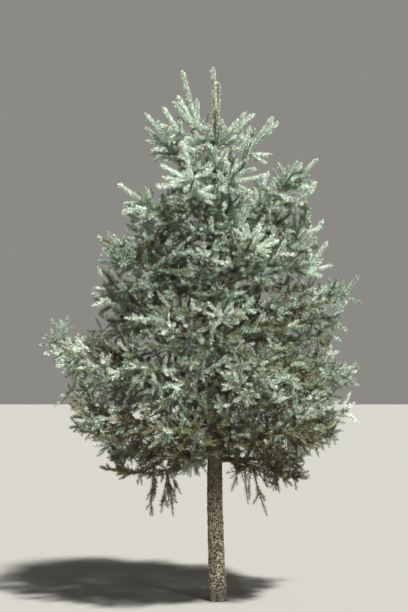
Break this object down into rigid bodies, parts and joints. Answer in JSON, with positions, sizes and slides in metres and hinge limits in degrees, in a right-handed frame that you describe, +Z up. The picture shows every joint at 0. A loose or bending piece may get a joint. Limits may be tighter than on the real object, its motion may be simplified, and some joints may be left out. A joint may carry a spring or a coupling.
{
  "type": "blue spruce tree",
  "caption": "Young blue spruce on a clear stem: tapering trunk, whorls of boughs and blue-green needle masses, twin leaders at the top.",
  "frame": {"origin": "centre of the trunk's flat cut at ground level", "axes": "+Z up along the trunk; -Y towards the viewer of the reference view; +X to that viewer's right"},
  "size_m": [2.1376, 1.7863, 3.632],
  "materials": {
    "bark": "rough scaly grey-brown bark",
    "bough_bark": "rough orange-brown bark of boughs, twigs and buds",
    "needles": "waxy frosted blue-green needles"
  },
  "bodies": {
    "root": {"trunk": "bark", "bough_3_back": "bough_bark", "bough_3_front_left": "bough_bark", "bough_3_left": "bough_bark", "bough_3_right": "bough_bark", "bough_4_back": "bough_bark", "bough_4_front_right": "bough_bark", "bough_4_left": "bough_bark", "bough_4_right": "bough_bark", "bough_5_back": "bough_bark", "bough_5_front": "bough_bark", "bough_5_left": "bough_bark", "bough_5_right": "bough_bark", "bough_6_back_left": "bough_bark", "bough_6_back_right": "bough_bark", "bough_6_front_left": "bough_bark", "bough_6_front_right": "bough_bark", "bough_6_left": "bough_bark", "bough_6_right": "bough_bark", "bough_7_back": "bough_bark", "bough_7_front_left": "bough_bark", "bough_7_front_right": "bough_bark", "bough_7_left": "bough_bark", "bough_7_right": "bough_bark", "dead_limb": "bough_bark", "foliage_1_front": "needles", "foliage_1_left": "needles", "foliage_1_right": "needles", "foliage_2_back": "needles", "foliage_2_front_right": "needles", "foliage_2_left": "needles", "foliage_2_right": "needles", "foliage_3_back": "needles", "foliage_3_front_left": "needles", "foliage_3_left": "needles", "foliage_3_right": "needles", "foliage_4_back": "needles", "foliage_4_front_right": "needles", "foliage_4_left": "needles", "foliage_4_right": "needles", "foliage_5_back": "needles", "foliage_5_front": "needles", "foliage_5_left": "needles", "foliage_5_right": "needles", "foliage_6_back_left": "needles", "foliage_6_back_right": "needles", "foliage_6_front_left": "needles", "foliage_6_front_right": "needles", "foliage_6_left": "needles", "foliage_6_right": "needles", "foliage_7_back": "needles", "foliage_7_front_left": "needles", "foliage_7_front_right": "needles", "foliage_7_left": "needles", "foliage_7_right": "needles", "foliage_8_left": "needles", "foliage_8_right": "needles", "foliage_leader": "needles", "foliage_second_leader": "needles", "foliage_side_leader": "needles"}
  },
  "joints": []
}
